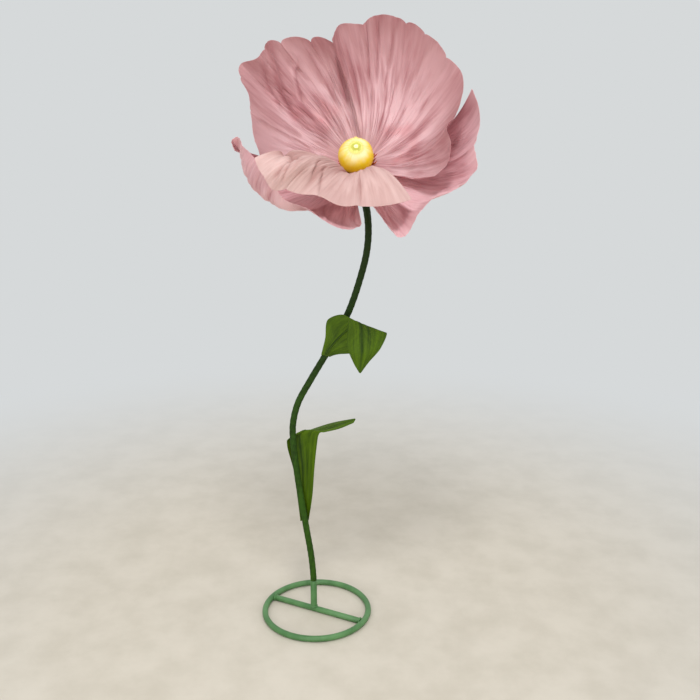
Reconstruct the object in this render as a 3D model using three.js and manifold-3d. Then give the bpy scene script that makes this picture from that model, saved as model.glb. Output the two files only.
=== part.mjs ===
// Giant crepe paper peony on a wrapped, S-bent stem, standing in a hoop base.
// Millimetres, +Z up. The origin is on the floor at the middle of the hoop, under the cross bar,
// and the flower faces -Y.
import * as THREE from "three";
import { mergeVertices } from "three/addons/utils/BufferGeometryUtils.js";
import Module from "manifold-3d";

const wasm = await Module();
wasm.setup();

// Clearance between pieces that touch
const GAP = 0.3;

// Stand: a hoop of round tube, a cross bar and an upright socket
const HOOP_DIAMETER = 290;
const HOOP_TUBE = 16;
const HOOP_SIDES = 12;
const HOOP_STEPS = 36;
const BAR_WALL = 1.5;
const BAR_TURN = -26.5;
const POST_DIAMETER = 18;
const POST_TOP = 96;
const POST_OFFSET = -9;
const POST_FOOT_LAP = 4;

// Stem: a bent steel tube wound with crepe
const STEM_DIAMETER = 14;
const STEM_WALL = 1.5;
const STEM_SIDES = 8;
const STEM_STEPS = 44;
const WRAP_THICKNESS = 1;
const WRAP_SIDES = 10;
const HEAD_STRAIGHT = 68;

// Flower head: where its collar sits and how far its axis rises over the horizontal
const HEAD_CENTRE = new THREE.Vector3(108, 4, 1236);
const HEAD_RISE = 31;
const COLLAR_RIM = 7;
const COLLAR_SLEEVE_LENGTH = 24;
const COLLAR_SLEEVE_WALL = 6;
const COLLAR_SOCKET_DEPTH = 16;
const CALYX_LENGTH = 26;
const CALYX_OVERHANG = 7;
const PAPER = 1;
const LATHE_STEPS = 24;

// Yellow centre: a foam ball in a gathered skin, with a button on top and a fringe at its foot
const POD_DIAMETER = 86;
const POD_SKIN = 1.2;
const POD_LIFT = 1;
const POD_FOOT = -72;
const POD_ARC_STEPS = 10;
const POD_SPIGOT_RADIUS = 11;
const BUTTON_RADIUS = 10;
const BUTTON_HEIGHT = 5;
const FRINGE_TEETH = 24;
const FRINGE_THICKNESS = 0.8;
const FRINGE_FLARE = 2.5;

// Petals: how far the innermost feet lie inside the ball's outline, their height, and the step out
// and down to each next layer
const FOOT_INSET = 2;
const FOOT_HEIGHT = 6;
const LAYER_STEP = 1.6;
const PETAL_FULLNESS = 0.72;
const LOBE_COLUMNS = 4;
const PETAL_ROWS = 8;

// Leaves: blades of doubled crepe, each stiffened by a wire under its midrib
const LEAF_COLUMNS = 8;
const LEAF_ROWS = 16;
const WIRE_DIAMETER = 1.8;
const WIRE_SIDES = 6;
const WIRE_STEPS = 16;
const WIRE_START = 0.05;

// Each petal has a layer, counted outward from the ball, and a foot that reaches from one azimuth to
// another. Scallops are the notches of its rim. Each holds its share of the way across the petal and
// its depth as a share of the petal's length. Ribs run round the petal from one side edge to the
// other. Each holds the azimuth of its tip in degrees, then the distance from the flower's axis and
// the height of its belly, then of its tip.
const PETALS = {
  petal_inner_left: {
    layer: 2,
    foot: [60, 186],
    scallops: [
      [0, 0.03],
      [0.15, 0.055],
      [0.305, 0.045],
      [0.42, 0.03],
      [0.66, 0.03],
      [0.82, 0.02],
      [0.94, 0.015],
      [1, 0.02],
    ],
    ribs: [
      [102, 165, 20, 239, 164],
      [114, 172, 42, 257, 189],
      [126, 185, 52, 269, 198],
      [135, 195, 50, 295, 201],
      [143, 200, 48, 289, 186],
      [150, 200, 50, 316, 173],
      [163, 187, 50, 259, 179],
      [176, 172, 55, 236, 180],
      [198, 150, 60, 223, 169],
    ],
  },
  petal_inner_right: {
    layer: 1,
    foot: [68, -22],
    scallops: [
      [0, 0.02],
      [0.186, 0.025],
      [0.352, 0.03],
      [0.41, 0.02],
      [0.49, 0.03],
      [0.66, 0.015],
      [0.8, 0.012],
      [0.93, 0.012],
      [1, 0.03],
    ],
    ribs: [
      [106, 158, 62, 229, 197],
      [99, 165, 52, 255, 200],
      [89, 182, 44, 260, 198],
      [81, 190, 42, 281, 203],
      [69, 198, 40, 289, 207],
      [54, 196, 38, 285, 206],
      [38, 190, 33, 280, 201],
      [23, 190, 30, 270, 200],
      [6, 180, 30, 231, 187],
      [-2, 172, 32, 209, 181],
      [-13, 175, 36, 224, 184],
      [-24, 165, 45, 228, 184],
      [-36, 150, 60, 210, 184],
    ],
  },
  petal_inner_front: {
    layer: 0,
    foot: [318, 200],
    scallops: [
      [0, 0.01],
      [0.3, 0.012],
      [0.5, 0.012],
      [0.675, 0.03],
      [0.86, 0.012],
      [1, 0.01],
    ],
    ribs: [
      [302, 90, 170, 229, 203],
      [290, 75, 195, 223, 215],
      [276, 70, 165, 219, 221],
      [262, 70, 145, 217, 222],
      [247, 80, 140, 210, 216],
      [234, 100, 245, 232, 224],
      [226, 130, 318, 260, 233],
      [217, 145, 272, 254, 237],
      [207, 150, 240, 248, 235],
    ],
  },
  petal_outer_left: {
    layer: 3,
    foot: [266, 176],
    scallops: [
      [0, 0.04],
      [0.2, 0.015],
      [0.38, 0.02],
      [0.55, 0.015],
      [0.75, 0.015],
      [0.9, 0.008],
      [1, 0.01],
    ],
    ribs: [
      [273, 140, 80, 233, 161],
      [264, 160, 90, 264, 186],
      [246, 200, 90, 244, 182],
      [230, 262, 90, 241, 195],
      [217, 312, 80, 245, 210],
      [204, 325, 70, 250, 209],
      [191, 305, 66, 261, 189],
      [185, 275, 60, 275, 174],
      [187, 262, 52, 286, 149],
    ],
  },
  petal_outer_right: {
    layer: 3,
    foot: [284, 378],
    scallops: [
      [0, 0.03],
      [0.15, 0.01],
      [0.4, 0.02],
      [0.66, 0.02],
      [0.8, 0.012],
      [1, 0.006],
    ],
    ribs: [
      [285, 150, 90, 238, 167],
      [290, 170, 80, 288, 172],
      [303, 170, 90, 266, 197],
      [314, 195, 80, 259, 199],
      [328, 220, 65, 284, 192],
      [337, 240, 45, 291, 186],
      [345, 240, 35, 268, 207],
      [357, 243, 22, 276, 204],
      [366, 250, 10, 282, 207],
      [376, 255, 0, 276, 215],
    ],
  },
  petal_outer_back: {
    layer: 4,
    foot: [150, 40],
    scallops: [
      [0, 0.03],
      [0.18, 0.04],
      [0.35, 0.04],
      [0.5, 0.03],
      [0.68, 0.04],
      [0.85, 0.04],
      [1, 0.03],
    ],
    ribs: [
      [155, 150, -4, 220, 50],
      [130, 160, -4, 250, 72],
      [95, 165, -4, 258, 80],
      [60, 160, -4, 250, 72],
      [35, 150, -4, 220, 50],
    ],
  },
};

// A leaf clasps the stem at its foot. The clasp holds one side edge, the midrib and the other side
// edge, each as two distances from the stem's centre in radii of the wound stem, and a height.
// Stations run on from there to the tip, and each holds the same three as places.
const LEAVES = {
  leaf_upper: {
    outward: 1,
    wireReach: 0.44,
    clasp: [[-1.44, -0.48, 752], [0, -1.5, 752], [1.58, 0.24, 745]],
    stations: [
      [[26, -10, 798], [47, -16, 780], [60, -14, 757]],
      [[34, -16, 852], [79, -30, 818], [124, -36, 772]],
      [[76, -36, 864], [118, -60, 848], [170, -62, 818]],
      [[84, -70, 800], [120, -84, 792], [160, -80, 784]],
      [[96, -72, 745], [115, -80, 742], [132, -76, 745]],
      [[108, -70, 722], [112, -72, 720], [116, -71, 722]],
    ],
  },
  leaf_lower: {
    outward: -1,
    wireReach: 0.52,
    clasp: [[-1.5, -0.24, 278], [0.18, 1.55, 275], [1.5, 0.04, 278]],
    stations: [
      [[-53, 8, 350], [-35, 20, 350], [-17, 8, 350]],
      [[-62, 10, 425], [-35, 24, 425], [-10, 10, 425]],
      [[-82, 12, 500], [-42, 30, 500], [-7, 12, 495]],
      [[-70, 16, 528], [-34, 32, 540], [0, 14, 548]],
      [[-2, 48, 566], [10, 26, 558], [20, 2, 550]],
      [[48, 36, 578], [52, 14, 572], [56, -8, 563]],
      [[98, 8, 588], [99, 4, 587], [100, 0, 586]],
    ],
  },
};

const radians = THREE.MathUtils.degToRad;

// Materials
function steelGreen() {
  return new THREE.MeshStandardMaterial({ color: 0x5c8050, roughness: 0.45, metalness: 0.1 });
}
function bareSteel() {
  return new THREE.MeshStandardMaterial({ color: 0x9a9c9c, roughness: 0.35, metalness: 1 });
}
function stemCrepe() {
  return new THREE.MeshStandardMaterial({ color: 0x2b4212, roughness: 0.8, metalness: 0 });
}
function leafCrepe() {
  return new THREE.MeshStandardMaterial({ color: 0x4a6a12, roughness: 0.6, metalness: 0 });
}
function petalCrepe() {
  return new THREE.MeshStandardMaterial({
    color: 0xe0a0a6,
    roughness: 0.75,
    metalness: 0,
    side: THREE.DoubleSide,
  });
}
function yellowCrepe() {
  return new THREE.MeshStandardMaterial({ color: 0xf2cc28, roughness: 0.6, metalness: 0 });
}
function creamCrepe() {
  return new THREE.MeshStandardMaterial({ color: 0xf4ecc0, roughness: 0.6, metalness: 0 });
}
function orangeCrepe() {
  return new THREE.MeshStandardMaterial({ color: 0xb8691c, roughness: 0.8, metalness: 0 });
}
function whiteFoam() {
  return new THREE.MeshStandardMaterial({ color: 0xf0f0ee, roughness: 0.9, metalness: 0 });
}

// A geometry with shared vertices and its faces turned outward.
function closed(source) {
  const bare = source.index ? source.toNonIndexed() : source.clone();
  for (const name of ["normal", "uv"]) bare.deleteAttribute(name);
  const shape = mergeVertices(bare, 1e-4);
  const place = shape.attributes.position;
  const faces = [...shape.index.array];
  const [a, b, c] = [new THREE.Vector3(), new THREE.Vector3(), new THREE.Vector3()];
  const whole = [];
  let volume = 0;
  for (let i = 0; i < faces.length; i += 3) {
    const [p, q, r] = faces.slice(i, i + 3);
    if (p === q || q === r || r === p) continue;
    a.fromBufferAttribute(place, p);
    b.fromBufferAttribute(place, q);
    c.fromBufferAttribute(place, r);
    volume += a.dot(b.cross(c)) / 6;
    whole.push(p, q, r);
  }
  if (volume < 0) {
    for (let i = 0; i < whole.length; i += 3) [whole[i + 1], whole[i + 2]] = [whole[i + 2], whole[i + 1]];
  }
  shape.setIndex(whole);
  return shape;
}

// One geometry with another one taken out of it.
function cut(keep, away) {
  const [left, right] = [keep, away].map((g) => {
    const shape = closed(g);
    const vertProperties = new Float32Array(shape.attributes.position.array);
    return new wasm.Manifold(
      new wasm.Mesh({ numProp: 3, vertProperties, triVerts: new Uint32Array(shape.index.array) }),
    );
  });
  const mesh = left.subtract(right).getMesh();
  const result = new THREE.BufferGeometry();
  result.setAttribute("position", new THREE.BufferAttribute(new Float32Array(mesh.vertProperties), 3));
  result.setIndex(new THREE.BufferAttribute(new Uint32Array(mesh.triVerts), 1));
  return result;
}

// A ring of points with a flat facing down. Its flats, or if inside is set its corners, lie on the
// circle.
function polygon(radius, sides, inside = false) {
  const corner = inside ? radius : radius / Math.cos(Math.PI / sides);
  return Array.from({ length: sides }, (_, i) => {
    const turn = ((i + 0.5) / sides) * 2 * Math.PI - Math.PI / 2;
    return new THREE.Vector2(corner * Math.cos(turn), corner * Math.sin(turn));
  });
}

// A round section, hollow when an inner radius is given.
function section(radius, sides, bore = 0, inside = false) {
  const shape = new THREE.Shape(polygon(radius, sides, inside));
  if (bore > 0) shape.holes.push(new THREE.Path(polygon(bore, sides)));
  return shape;
}

// A curve known only at stations, which are fractions of another curve's length. Two tubes swept
// along the same stations bend in the same places, so one fits inside the other.
class Stations extends THREE.Curve {
  constructor(curve, fractions) {
    super();
    this.curve = curve;
    this.fractions = fractions;
  }

  fractionAt(u) {
    return this.fractions[Math.round(u * (this.fractions.length - 1))];
  }

  getPointAt(u) {
    return this.curve.getPointAt(this.fractionAt(u));
  }

  getTangentAt(u) {
    return this.curve.getTangentAt(this.fractionAt(u));
  }
}

// A section swept along a curve, with a ring at each of its stations.
function sweep(curve, shape, fractions) {
  const extrudePath = new Stations(curve, fractions);
  const steps = fractions.length - 1;
  return closed(new THREE.ExtrudeGeometry(shape, { steps, bevelEnabled: false, extrudePath }));
}

// Even fractions from 0 to 1.
const evenly = (steps) => Array.from({ length: steps + 1 }, (_, i) => i / steps);

// A straight length of section, from z = low to z = high.
function straight(shape, low, high) {
  const bar = new THREE.ExtrudeGeometry(shape, { depth: high - low, bevelEnabled: false });
  return bar.translate(0, 0, low);
}

// A profile of [distance from the axis, height] pairs turned about the Z axis.
function turned(profile, steps) {
  const points = profile.map(([r, z]) => new THREE.Vector2(r, z));
  return closed(new THREE.LatheGeometry(points, steps).rotateX(Math.PI / 2));
}

// Points on an arc about [cx, cz], from one angle in degrees to another.
function arc(cx, cz, radius, from, to, count) {
  return Array.from({ length: count + 1 }, (_, i) => {
    const turn = radians(from + ((to - from) * i) / count);
    return [cx + radius * Math.cos(turn), cz + radius * Math.sin(turn)];
  });
}

// The value at s, from 0 to 1, of a smooth curve through rows of numbers.
function through(rows, s) {
  const last = rows.length - 1;
  const place = Math.min(s * last, last - 1e-9);
  const start = Math.floor(place);
  const w = place - start;
  const row = (i) => {
    if (i < 0) return rows[0].map((v, k) => 2 * v - rows[1][k]);
    if (i > last) return rows[last].map((v, k) => 2 * v - rows[last - 1][k]);
    return rows[i];
  };
  const [a, b, c, d] = [row(start - 1), row(start), row(start + 1), row(start + 2)];
  return b.map((v, k) => {
    const linear = (c[k] - a[k]) * w;
    const square = (2 * a[k] - 5 * v + 4 * c[k] - d[k]) * w * w;
    const cube = (3 * v - a[k] - 3 * c[k] + d[k]) * w * w * w;
    return 0.5 * (2 * v + linear + square + cube);
  });
}

// The unit normal of a surface given by point(s, t).
function normalAt(point, s, t) {
  const step = 1e-3;
  const [s0, s1] = [Math.max(s - step, 0), Math.min(s + step, 1)];
  const [t0, t1] = [Math.max(t - step, 0), Math.min(t + step, 1)];
  const across = point(s1, t).sub(point(s0, t));
  const along = point(s, t1).sub(point(s, t0));
  return across.cross(along).normalize();
}

// A sheet of paper of even thickness about the surface point(s, t), closed round its edges. A
// looped sheet joins its last column to its first.
function paperSheet(point, columns, rows, thickness, looped = false) {
  const across = looped ? columns : columns + 1;
  const places = [];
  for (const side of [0.5, -0.5]) {
    for (let i = 0; i < across; i += 1) {
      for (let j = 0; j <= rows; j += 1) {
        const [s, t] = [i / columns, j / rows];
        const shift = normalAt(point, s, t).multiplyScalar(side * thickness);
        places.push(...point(s, t).add(shift).toArray());
      }
    }
  }
  const index = (side, i, j) => side * across * (rows + 1) + (i % across) * (rows + 1) + j;
  const faces = [];
  const quad = (a, b, c, d) => faces.push(a, b, c, a, c, d);
  for (let i = 0; i < columns; i += 1) {
    for (let j = 0; j < rows; j += 1) {
      quad(index(0, i, j), index(0, i + 1, j), index(0, i + 1, j + 1), index(0, i, j + 1));
      quad(index(1, i, j), index(1, i, j + 1), index(1, i + 1, j + 1), index(1, i + 1, j));
    }
    quad(index(0, i + 1, 0), index(0, i, 0), index(1, i, 0), index(1, i + 1, 0));
    quad(index(0, i, rows), index(0, i + 1, rows), index(1, i + 1, rows), index(1, i, rows));
  }
  if (!looped) {
    for (let j = 0; j < rows; j += 1) {
      quad(index(0, 0, j), index(0, 0, j + 1), index(1, 0, j + 1), index(1, 0, j));
      quad(index(0, columns, j + 1), index(0, columns, j), index(1, columns, j), index(1, columns, j + 1));
    }
  }
  const sheet = new THREE.BufferGeometry();
  sheet.setAttribute("position", new THREE.BufferAttribute(new Float32Array(places), 3));
  sheet.setIndex(faces);
  return closed(sheet);
}

function named(name, geometry, material) {
  const mesh = new THREE.Mesh(geometry, material);
  mesh.name = name;
  return mesh;
}

// Stand
const hoopRadius = HOOP_DIAMETER / 2;
const tubeRadius = HOOP_TUBE / 2;

function hoopRing(grow) {
  const ring = polygon(tubeRadius + grow, HOOP_SIDES).map((p) => [hoopRadius + p.x, tubeRadius + p.y]);
  return turned([...ring, ring[0]], HOOP_STEPS);
}

// A length of the cross bar, laid along its own turned line through the middle of the hoop.
function barAlong(shape, half) {
  const bar = straight(shape, -half, half).rotateZ(Math.PI / 2).rotateY(Math.PI / 2);
  return bar.rotateZ(radians(BAR_TURN)).translate(0, 0, tubeRadius);
}

function crossBar() {
  const shape = section(tubeRadius, HOOP_SIDES, tubeRadius - BAR_WALL);
  return cut(barAlong(shape, hoopRadius - 2), hoopRing(GAP));
}

const postPlace = new THREE.Vector2(POST_OFFSET, 0).rotateAround(new THREE.Vector2(), radians(BAR_TURN));

// The socket's foot is cut to the round of the bar that it stands on.
function basePost() {
  const shape = section(POST_DIAMETER / 2, HOOP_SIDES, STEM_DIAMETER / 2 + GAP);
  const tube = straight(shape, tubeRadius + POST_FOOT_LAP, POST_TOP);
  tube.translate(postPlace.x, postPlace.y, 0);
  return cut(tube, barAlong(section(tubeRadius + GAP, HOOP_SIDES), hoopRadius));
}

function makeStand() {
  const stand = new THREE.Group();
  stand.add(named("base_ring", hoopRing(0), steelGreen()));
  stand.add(named("cross_bar", crossBar(), steelGreen()));
  stand.add(named("base_post", basePost(), steelGreen()));
  return stand;
}

// Stem
const headAxis = new THREE.Vector3(0, -Math.cos(radians(HEAD_RISE)), Math.sin(radians(HEAD_RISE)));
const behindHead = (distance) => HEAD_CENTRE.clone().addScaledVector(headAxis, -distance);
const wrapRadius = STEM_DIAMETER / 2 + GAP + WRAP_THICKNESS;
const socketFloor = COLLAR_SLEEVE_LENGTH - COLLAR_SOCKET_DEPTH;
const calyxEnd = COLLAR_SLEEVE_LENGTH + CALYX_LENGTH;
const stemFoot = HOOP_TUBE + 2 * GAP;

// The bent line of the stem, from the bar, up through the socket and round into the collar.
function stemLine() {
  const upright = [stemFoot, POST_TOP / 2, POST_TOP];
  const bends = [
    [-13, 4, 165],
    [-28, 4, 268],
    [-47, 4, 400],
    [-58, 4, 510],
    [-58, 4, 560],
    [-44, 4, 618],
    [-10, 4, 682],
    [40, 4, 768],
    [90, 4, 865],
    [119, 4, 950],
    [136, 4, 1020],
    [140, 6, 1080],
    [132, 52, 1140],
    [114, 72, 1182],
  ];
  return new THREE.CatmullRomCurve3([
    ...upright.map((z) => new THREE.Vector3(postPlace.x, postPlace.y, z)),
    ...bends.map((p) => new THREE.Vector3(...p)),
    behindHead(HEAD_STRAIGHT),
    behindHead(calyxEnd),
    behindHead(COLLAR_SLEEVE_LENGTH),
    behindHead(socketFloor + GAP),
  ]);
}

// The wrap runs from just above the socket to just short of the collar's sleeve.
function makeStem() {
  const line = stemLine();
  const length = line.getLength();
  const wrapStart = (POST_TOP + 3 * GAP - stemFoot) / length;
  const wrapEnd = 1 - COLLAR_SOCKET_DEPTH / length;
  const calyxPlace = 1 - (calyxEnd - socketFloor - GAP) / length;
  const stations = [...evenly(STEM_STEPS), wrapStart, calyxPlace, wrapEnd].sort((a, b) => a - b);
  const stem = new THREE.Group();
  const bore = (STEM_DIAMETER / 2 - STEM_WALL) * Math.cos(Math.PI / STEM_SIDES);
  const tube = section(STEM_DIAMETER / 2, STEM_SIDES, bore, true);
  stem.add(named("stem_tube", sweep(line, tube, stations), bareSteel()));
  const wrap = section(wrapRadius, WRAP_SIDES, STEM_DIAMETER / 2 + GAP);
  const wound = sweep(line, wrap, stations.filter((share) => share >= wrapStart && share <= wrapEnd));
  stem.add(named("stem_wrap", wound, stemCrepe()));
  return stem;
}

// Head, in its own frame: X to the right, Y up the face of the flower, Z out along its axis
const podRadius = POD_DIAMETER / 2;
const podHeight = podRadius + POD_LIFT;
const footRadius = podRadius - FOOT_INSET;
const collarRadius = footRadius + COLLAR_RIM;
const sleeveRadius = STEM_DIAMETER / 2 + GAP + COLLAR_SLEEVE_WALL;
const seat = footRadius + FOOT_HEIGHT - 2 * GAP - PAPER / 3;

// The collar has a cone that the petals' feet are glued to, a hollow for the ball and a sleeve.
function collarProfile() {
  const socket = (STEM_DIAMETER / 2 + GAP) / Math.cos(Math.PI / LATHE_STEPS);
  const top = FOOT_HEIGHT + PAPER;
  const hollow = arc(0, podHeight, podRadius + GAP, -58, -75, 4);
  const spigotTop = podHeight - podRadius + POD_SKIN;
  return [
    [0, -socketFloor],
    [socket, -socketFloor],
    [socket, -COLLAR_SLEEVE_LENGTH],
    [sleeveRadius, -COLLAR_SLEEVE_LENGTH],
    [sleeveRadius + 4, -COLLAR_SLEEVE_LENGTH + 4],
    [collarRadius - 4, seat - collarRadius - 4],
    [collarRadius, seat - collarRadius],
    [seat - top, top],
    ...hollow.filter(([, z]) => z < top),
    [POD_SPIGOT_RADIUS, hollow[4][1]],
    [POD_SPIGOT_RADIUS, spigotTop],
    [0, spigotTop],
  ];
}

function calyxProfile() {
  const inner = [
    [collarRadius + CALYX_OVERHANG, seat - collarRadius - 4],
    [collarRadius + GAP, seat - collarRadius - 5],
    [sleeveRadius + 5, -COLLAR_SLEEVE_LENGTH + 2],
    [wrapRadius + 4, -COLLAR_SLEEVE_LENGTH - 8],
    [wrapRadius + 3 * GAP, -calyxEnd],
  ];
  const outer = inner.map(([r, z]) => [r + PAPER / 2, z - PAPER]).reverse();
  return [...inner, ...outer, inner[0]];
}

// The ball and its skin have the same facets, so the gap between them is even.
function podCore() {
  const radius = podRadius - POD_SKIN - GAP;
  const outer = arc(0, podHeight, radius, POD_FOOT, 90, POD_ARC_STEPS);
  return turned([[0, podHeight - radius], ...outer], LATHE_STEPS);
}

function podSkin() {
  const outer = arc(0, podHeight, podRadius, POD_FOOT, 90, POD_ARC_STEPS);
  const inner = arc(0, podHeight, podRadius - POD_SKIN, 90, POD_FOOT, POD_ARC_STEPS);
  return turned([...inner, ...outer], LATHE_STEPS);
}

function podButton() {
  const under = Math.asin(BUTTON_RADIUS / (podRadius + GAP));
  const low = arc(0, podHeight, podRadius + GAP, 90, 90 - THREE.MathUtils.radToDeg(under), 3);
  const [rim, height] = low[3];
  const dome = arc(0, 0, 1, 0, 90, 5).map(([r, z]) => [r * rim, height + 1 + z * BUTTON_HEIGHT]);
  return turned([...low, ...dome], 16);
}

// The fringe flares from inside the petals' feet and ends in cut points.
function stamenFringe() {
  const point = (s, t) => {
    const tooth = Math.abs(((s * FRINGE_TEETH) % 1) - 0.5) * 2;
    const angle = -52 + (12 + 12 * tooth) * t;
    const radius = podRadius + 1.5 * GAP + FRINGE_THICKNESS / 2 + FRINGE_FLARE * t * t;
    const turn = 2 * Math.PI * s;
    const out = radius * Math.cos(radians(angle));
    const height = podHeight + radius * Math.sin(radians(angle));
    return new THREE.Vector3(out * Math.cos(turn), out * Math.sin(turn), height);
  };
  return paperSheet(point, FRINGE_TEETH * 2, 3, FRINGE_THICKNESS, true);
}

// The place across a petal that is a share of the way through its lobes, with the same number of
// steps in each lobe, so that every notch falls on a column of the mesh.
function throughLobes(scallops, share) {
  const lobes = scallops.length - 1;
  const lobe = Math.min(Math.floor(share * lobes), lobes - 1);
  const [from, to] = [scallops[lobe][0], scallops[lobe + 1][0]];
  return from + (to - from) * (share * lobes - lobe);
}

// The share of its length that a petal is cut short at s, by the notches on either side.
function cutShort(scallops, s) {
  const next = Math.max(scallops.findIndex(([place]) => place >= s), 1);
  const [[from, shallow], [to, deep]] = scallops.slice(next - 1, next + 1);
  const phase = (s - from) / (to - from);
  const depth = shallow + (deep - shallow) * phase;
  return depth * (1 - Math.abs(Math.sin(Math.PI * phase)) ** 0.6);
}

// Where a petal's surface lies: s runs round from one side edge to the other, t from foot to rim.
function petalSurface(petal) {
  const foot = [
    footRadius + LAYER_STEP * petal.layer,
    FOOT_HEIGHT - LAYER_STEP * petal.layer,
  ];
  return (s, t) => {
    const [azimuth, bellyOut, bellyUp, tipOut, tipUp] = through(petal.ribs, s);
    const way = t * (1 - cutShort(petal.scallops, s));
    const pull = (end, belly) => end + PETAL_FULLNESS * (belly - end);
    const bezier = (a, b, c, d) =>
      a * (1 - way) ** 3 + 3 * b * way * (1 - way) ** 2 + 3 * c * way * way * (1 - way) + d * way ** 3;
    const out = bezier(foot[0], pull(foot[0], bellyOut), pull(tipOut, bellyOut), tipOut);
    const up = bezier(foot[1], pull(foot[1], bellyUp), pull(tipUp, bellyUp), tipUp);
    const footAzimuth = petal.foot[0] + (petal.foot[1] - petal.foot[0]) * s;
    const turn = radians(footAzimuth + (azimuth - footAzimuth) * Math.sqrt(way));
    return new THREE.Vector3(out * Math.cos(turn), out * Math.sin(turn), up);
  };
}

function makeHead() {
  const head = new THREE.Group();
  head.position.copy(HEAD_CENTRE);
  head.rotation.x = Math.PI / 2 - radians(HEAD_RISE);
  head.add(named("head_collar", turned(collarProfile(), LATHE_STEPS), whiteFoam()));
  head.add(named("calyx", turned(calyxProfile(), LATHE_STEPS), leafCrepe()));
  head.add(named("pod_core", podCore(), whiteFoam()));
  head.add(named("pod_skin", podSkin(), yellowCrepe()));
  head.add(named("pod_button", podButton(), creamCrepe()));
  head.add(named("stamen_fringe", stamenFringe(), orangeCrepe()));
  for (const [name, petal] of Object.entries(PETALS)) {
    const surface = petalSurface(petal);
    const columns = LOBE_COLUMNS * (petal.scallops.length - 1);
    const point = (share, t) => surface(throughLobes(petal.scallops, share), t);
    head.add(named(name, paperSheet(point, columns, PETAL_ROWS, PAPER), petalCrepe()));
  }
  return head;
}

// The place on a line at a height, for a line that rises all the way.
function atHeight(line, height) {
  let [low, high] = [0, 1];
  while (high - low > 1e-5) {
    const middle = (low + high) / 2;
    if (line.getPointAt(middle).z < height) low = middle;
    else high = middle;
  }
  return line.getPointAt(low);
}

// Leaves: s runs across the blade, t along it from the stem to the tip
function leafSurface({ clasp, stations }) {
  const line = stemLine();
  const foot = clasp.map(([x, y, z]) => {
    const centre = atHeight(line, z);
    return [centre.x + x * wrapRadius, centre.y + y * wrapRadius, z];
  });
  const rows = [foot, ...stations].map((station) => station.flat());
  return (s, t) => {
    const row = through(rows, t);
    const [left, middle, right] = [0, 3, 6].map((k) => new THREE.Vector3(...row.slice(k, k + 3)));
    const weights = [(1 - s) * (1 - 2 * s), 4 * s * (1 - s), s * (2 * s - 1)];
    return left
      .multiplyScalar(weights[0])
      .addScaledVector(middle, weights[1])
      .addScaledVector(right, weights[2]);
  };
}

// The wire lies under the midrib, clear of the blade by the usual gap.
function leafWire(surface, outward, reach) {
  const offset = outward * (PAPER / 2 + WIRE_DIAMETER / 2 + 2 * GAP);
  const points = evenly(WIRE_STEPS).map((share) => {
    const t = WIRE_START + (reach - WIRE_START) * share;
    return surface(0.5, t).addScaledVector(normalAt(surface, 0.5, t), offset);
  });
  const line = new THREE.CatmullRomCurve3(points);
  return sweep(line, section(WIRE_DIAMETER / 2, WIRE_SIDES), evenly(WIRE_STEPS));
}

function makeLeaves() {
  const leaves = new THREE.Group();
  for (const [name, leaf] of Object.entries(LEAVES)) {
    const surface = leafSurface(leaf);
    leaves.add(named(name, paperSheet(surface, LEAF_COLUMNS, LEAF_ROWS, PAPER), leafCrepe()));
    leaves.add(named(`${name}_wire`, leafWire(surface, leaf.outward, leaf.wireReach), bareSteel()));
  }
  return leaves;
}

const peony = new THREE.Group();
peony.add(makeStand(), makeStem(), makeHead(), makeLeaves());

export default peony;
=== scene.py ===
# %% [markdown]
# This lesson dresses a giant flower of crepe paper: six pleated petals round a yellow ball, a bent
# stem wound with a paper strip, two folded leaves and a hoop of green tube that stands on the floor.
# The measured model is loaded first and stays where it is. Each real piece then gets a finer shape
# laid over its measured one, and a finish made of shader nodes.

# %% Load the measured model
from math import cos, pi, radians, sin

import bpy
import numpy as np
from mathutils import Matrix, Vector


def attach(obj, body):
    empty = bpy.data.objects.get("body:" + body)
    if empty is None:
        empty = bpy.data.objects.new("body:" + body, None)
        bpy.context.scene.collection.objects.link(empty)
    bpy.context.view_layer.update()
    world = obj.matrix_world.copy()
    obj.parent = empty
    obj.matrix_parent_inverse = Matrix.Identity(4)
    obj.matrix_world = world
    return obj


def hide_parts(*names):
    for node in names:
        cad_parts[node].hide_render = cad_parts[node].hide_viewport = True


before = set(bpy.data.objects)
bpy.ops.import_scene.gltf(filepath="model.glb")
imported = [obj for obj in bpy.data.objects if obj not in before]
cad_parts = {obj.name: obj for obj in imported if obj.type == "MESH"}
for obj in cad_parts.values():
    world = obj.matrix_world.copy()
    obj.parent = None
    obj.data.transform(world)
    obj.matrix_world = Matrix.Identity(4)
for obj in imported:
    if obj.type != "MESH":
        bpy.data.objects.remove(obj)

MM = 0.001
CM = 0.01
scene = bpy.context.scene
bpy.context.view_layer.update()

# %% [markdown]
# Shader maths reads best as plain sums. A small class holds a socket and turns +, -, * and ** into
# Math nodes, and a Finish owns one material. Any other node comes from its add method, which takes
# the type, the settings and the sockets, in that order. Plain node calls would do the same in three
# times the lines.

# %% Sums on sockets
class Shade:
    """A number that varies over a surface."""

    def __init__(self, finish, socket):
        self.finish = finish
        self.socket = socket

    def sum(self, operation, first, second):
        return self.finish.add("ShaderNodeMath", {"operation": operation}, {0: first, 1: second})

    def __add__(self, other):
        return self.sum("ADD", self, other)

    __radd__ = __add__

    def __sub__(self, other):
        return self.sum("SUBTRACT", self, other)

    def __rsub__(self, other):
        return self.sum("SUBTRACT", other, self)

    def __mul__(self, other):
        return self.sum("MULTIPLY", self, other)

    __rmul__ = __mul__

    def __pow__(self, other):
        return self.sum("POWER", self, other)

    def clear(self):
        """The same number, held between 0 and 1."""
        return self.finish.add("ShaderNodeClamp", {}, {0: self})

    def between(self, low, high):
        """0 below low, 1 above high, and a smooth rise between."""
        settings = {"interpolation_type": "SMOOTHSTEP"}
        return self.finish.add("ShaderNodeMapRange", settings, {0: self, 1: low, 2: high})

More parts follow.
